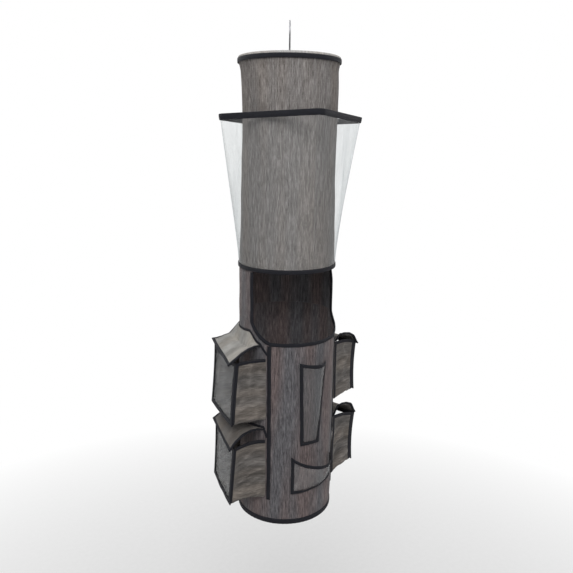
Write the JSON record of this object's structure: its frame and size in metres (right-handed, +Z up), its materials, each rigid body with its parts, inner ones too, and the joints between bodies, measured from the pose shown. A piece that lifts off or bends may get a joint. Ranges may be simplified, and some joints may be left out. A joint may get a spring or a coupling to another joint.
{
  "type": "gift wrap organizer",
  "caption": "Tall hanging fabric tube on a swivel hook, with a clear skirt of pockets, an open roll window, lidded box pockets on both sides and clear front pockets.",
  "frame": {"origin": "where the hook bears on a closet rod, at the inside top of its bend, on the swivel axis", "axes": "+Z up, -Y the front with the roll window, +X to the right of a person who faces the front"},
  "size_m": [0.3706, 0.3398, 1.1839],
  "materials": {
    "heather_fabric": "matte heathered weave",
    "black_binding": "matte ribbed tape",
    "clear_vinyl": "clear and glossy",
    "plated_steel": "bright plating",
    "grey_board": "matte pressed board"
  },
  "bodies": {
    "swivel_hook": {"hook": "plated_steel", "hook_washer": "plated_steel", "hook_cap": "plated_steel"},
    "hanger": {"swivel_eyelet": "plated_steel", "top_cover": "heather_fabric", "top_board": "grey_board", "top_binding": "black_binding", "upper_sleeve": "heather_fabric", "back_panel": "heather_fabric", "lower_sleeve": "heather_fabric", "window_binding": "black_binding", "front_seam_tape_left": "black_binding", "front_seam_tape_right": "black_binding", "base_board": "grey_board", "base_cover": "heather_fabric", "base_binding": "black_binding", "skirt_panel": "clear_vinyl", "skirt_wire_frame": "plated_steel", "skirt_top_binding": "black_binding", "skirt_bottom_binding": "black_binding", "skirt_web_left": "clear_vinyl", "skirt_web_right": "clear_vinyl", "skirt_web_back": "clear_vinyl", "scissors_pocket": "clear_vinyl", "scissors_pocket_binding": "black_binding", "tape_pocket": "clear_vinyl", "tape_pocket_binding": "black_binding", "pocket_left_upper_gusset": "heather_fabric", "pocket_left_upper_face": "clear_vinyl", "pocket_left_upper_face_binding": "black_binding", "pocket_left_upper_lid_yoke": "heather_fabric", "pocket_left_lower_gusset": "heather_fabric", "pocket_left_lower_face": "clear_vinyl", "pocket_left_lower_face_binding": "black_binding", "pocket_left_lower_lid_yoke": "heather_fabric", "pocket_right_upper_gusset": "heather_fabric", "pocket_right_upper_face": "clear_vinyl", "pocket_right_upper_face_binding": "black_binding", "pocket_right_upper_lid_yoke": "heather_fabric", "pocket_right_lower_gusset": "heather_fabric", "pocket_right_lower_face": "clear_vinyl", "pocket_right_lower_face_binding": "black_binding", "pocket_right_lower_lid_yoke": "heather_fabric"},
    "left_upper_lid": {"lid_left_upper": "heather_fabric", "lid_left_upper_binding": "black_binding"},
    "left_lower_lid": {"lid_left_lower": "heather_fabric", "lid_left_lower_binding": "black_binding"},
    "right_upper_lid": {"lid_right_upper": "heather_fabric", "lid_right_upper_binding": "black_binding"},
    "right_lower_lid": {"lid_right_lower": "heather_fabric", "lid_right_lower_binding": "black_binding"}
  },
  "joints": [
    {"name": "swivel", "type": "hinge", "parent": "swivel_hook", "child": "hanger", "pos_m": [0, 0, -0.0765], "axis": [0, 0, 1], "continuous": true},
    {"name": "left_upper_fold", "type": "hinge", "parent": "hanger", "child": "left_upper_lid", "pos_m": [-0.11965, 0.0211, -0.73563], "axis": [0.1736, 0.9848, 0], "range_deg": [0, 110]},
    {"name": "left_lower_fold", "type": "hinge", "parent": "hanger", "child": "left_lower_lid", "pos_m": [-0.11965, 0.0211, -0.93964], "axis": [0.1736, 0.9848, 0], "range_deg": [0, 55]},
    {"name": "right_upper_fold", "type": "hinge", "parent": "hanger", "child": "right_upper_lid", "pos_m": [0.11965, 0.0211, -0.73563], "axis": [0.1736, -0.9848, 0], "range_deg": [0, 110]},
    {"name": "right_lower_fold", "type": "hinge", "parent": "hanger", "child": "right_lower_lid", "pos_m": [0.11965, 0.0211, -0.93964], "axis": [0.1736, -0.9848, 0], "range_deg": [0, 55]}
  ]
}
